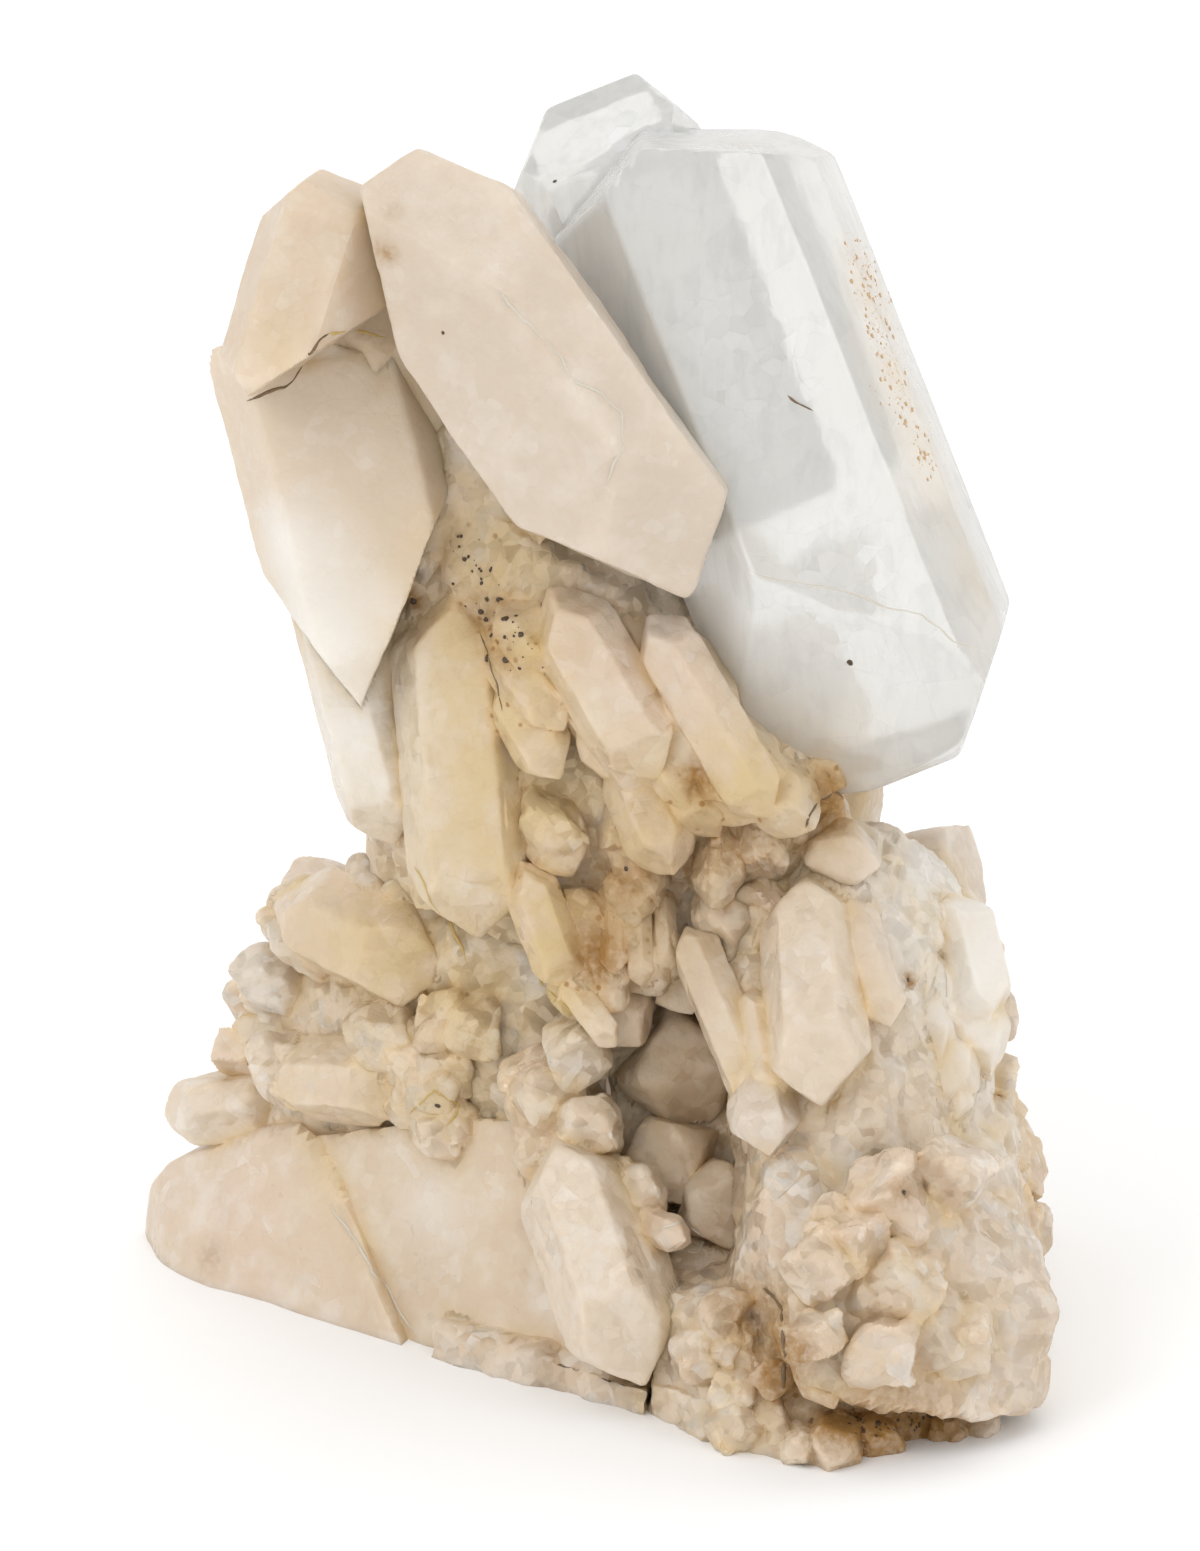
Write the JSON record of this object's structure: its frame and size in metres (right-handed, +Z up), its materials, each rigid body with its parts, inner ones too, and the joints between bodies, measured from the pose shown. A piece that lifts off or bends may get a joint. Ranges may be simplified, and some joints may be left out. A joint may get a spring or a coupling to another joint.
{
  "type": "quartz crystal cluster",
  "caption": "Free-standing natural cluster of clear and milky quartz crystals on a stained crystal base, cut flat underneath so that it stands.",
  "frame": {"origin": "on the flat cut underneath, near the middle of the foot", "axes": "+Z up, out of the cut and along the cluster's height; +Y away from the side that the large crystals face; +X to the right of that side"},
  "size_m": [0.0926, 0.0852, 0.1251],
  "materials": {
    "milky_quartz": "milky cream quartz, smooth crystal faces, stained yellow-brown in the creases"
  },
  "bodies": {
    "root": {"quartz_cluster": "milky_quartz"}
  },
  "joints": []
}
